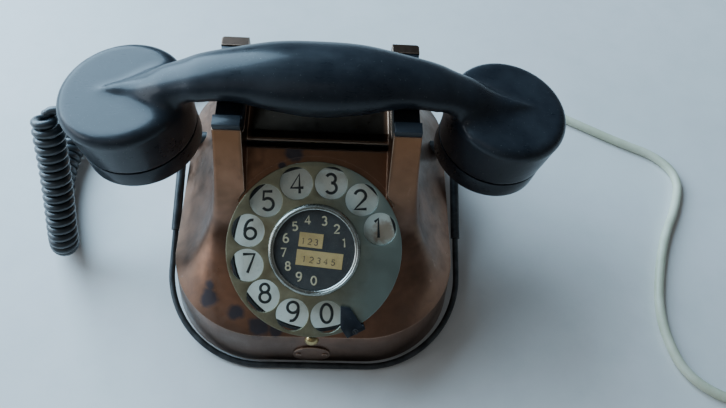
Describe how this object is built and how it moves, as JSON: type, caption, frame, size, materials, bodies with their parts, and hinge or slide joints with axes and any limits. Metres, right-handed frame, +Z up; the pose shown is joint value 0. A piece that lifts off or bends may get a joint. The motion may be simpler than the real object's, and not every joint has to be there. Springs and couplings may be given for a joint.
{
  "type": "desk telephone",
  "caption": "Copper-cased desk telephone with a rotary dial, a black handset on a sprung cradle, a curled handset cord, a carrying bail and a stored line cord.",
  "frame": {"origin": "middle of the footprint, on the table that the rubber feet stand on", "axes": "+X to the dialling person's right along the handset, +Y away from them, +Z up"},
  "size_m": [0.4263, 0.2803, 0.13],
  "materials": {
    "copper": "tarnished copper sheet",
    "plain_steel": "plain steel",
    "soft_rubber": "black rubber",
    "brass": "brass",
    "enamel": "white enamel",
    "black_bakelite": "polished black bakelite",
    "black_steel": "black painted steel",
    "nickel": "worn nickel plate",
    "clear_window": "clear cover",
    "black_card": "black printed card",
    "label_paper": "aged paper",
    "winding": "wound and taped wire",
    "brown_bakelite": "brown moulded resin",
    "cream_cord": "aged cream sheath"
  },
  "bodies": {
    "root": {"case_shell": "copper", "base_plate": "plain_steel", "rubber_feet": "soft_rubber", "base_screws": "plain_steel", "case_screw_front": "brass", "badge_plate": "copper", "badge_rivets": "copper", "dial_cup": "black_steel", "number_plate": "enamel", "finger_stop": "black_bakelite", "finger_stop_screw": "black_steel", "dial_frame": "plain_steel", "dial_pillars": "brass", "dial_back_plate": "plain_steel", "spring_barrel": "brass", "main_spring": "plain_steel", "governor_cup": "brass", "pulse_contacts": "brass", "ringer_frame": "plain_steel", "ringer_coils": "winding", "ringer_cores": "plain_steel", "gong_left": "nickel", "gong_right": "nickel", "gong_screws": "brass", "induction_coil": "winding", "capacitor": "plain_steel", "terminal_block": "brown_bakelite", "terminal_screws": "brass", "hook_contacts": "brown_bakelite", "bail_bosses": "black_steel", "line_cord_gland": "cream_cord", "handset_cord_gland": "soft_rubber", "line_cord": "cream_cord", "line_cord_coil": "cream_cord", "line_plug": "brown_bakelite", "handset_cord": "soft_rubber"},
    "clapper": {"clapper_armature": "nickel", "clapper_ball": "brass"},
    "cradle": {"saddle_left": "black_bakelite", "saddle_right": "black_bakelite", "cradle_yoke": "plain_steel"},
    "dial": {"finger_wheel": "nickel", "centre_bezel": "nickel", "centre_window": "clear_window", "centre_card": "black_card", "centre_labels": "label_paper", "dial_shaft": "brass", "main_gear": "brass"},
    "governor": {"governor_arbor": "brass", "pulse_cam": "brass", "governor_weights": "brass"},
    "handset": {"handset_body": "black_bakelite", "ear_cap": "black_bakelite", "mouth_cap": "black_bakelite", "receiver_capsule": "nickel", "transmitter_capsule": "nickel", "handset_cord_bush": "soft_rubber"},
    "bail": {"bail_wire": "black_steel", "bail_sleeves": "black_steel"}
  },
  "joints": [
    {"name": "handset_lift", "type": "slide", "parent": "root", "child": "handset", "axis": [0, 0, 1], "range_m": [0, 0.12]},
    {"name": "cradle_lift", "type": "slide", "parent": "root", "child": "cradle", "axis": [0, 0, 1], "range_m": [0, 0.005]},
    {"name": "dial_turn", "type": "hinge", "parent": "root", "child": "dial", "pos_m": [0, -0.0452, 0.0626], "axis": [0, 0.5519, -0.8339], "range_deg": [0, 330], "stiffness_Nm_per_rad": 0.004, "springref_deg": -114.59},
    {"name": "governor_spin", "type": "hinge", "parent": "root", "child": "governor", "pos_m": [0, -0.05251, 0.03378], "axis": [0, 0.5519, -0.8339], "range_deg": [-1486, 1]},
    {"name": "clapper_swing", "type": "hinge", "parent": "root", "child": "clapper", "pos_m": [0, 0.0215, 0.016], "axis": [0, 0, 1], "range_deg": [-3, 3]},
    {"name": "bail_turn", "type": "hinge", "parent": "root", "child": "bail", "pos_m": [0, 0.035, 0.034], "axis": [-1, 0, 0], "range_deg": [0, 45]}
  ],
  "couplings": [
    {"joint": "cradle_lift", "follows": "handset_lift", "ratio": 0.04},
    {"joint": "governor_spin", "follows": "dial_turn", "ratio": -4.5}
  ]
}
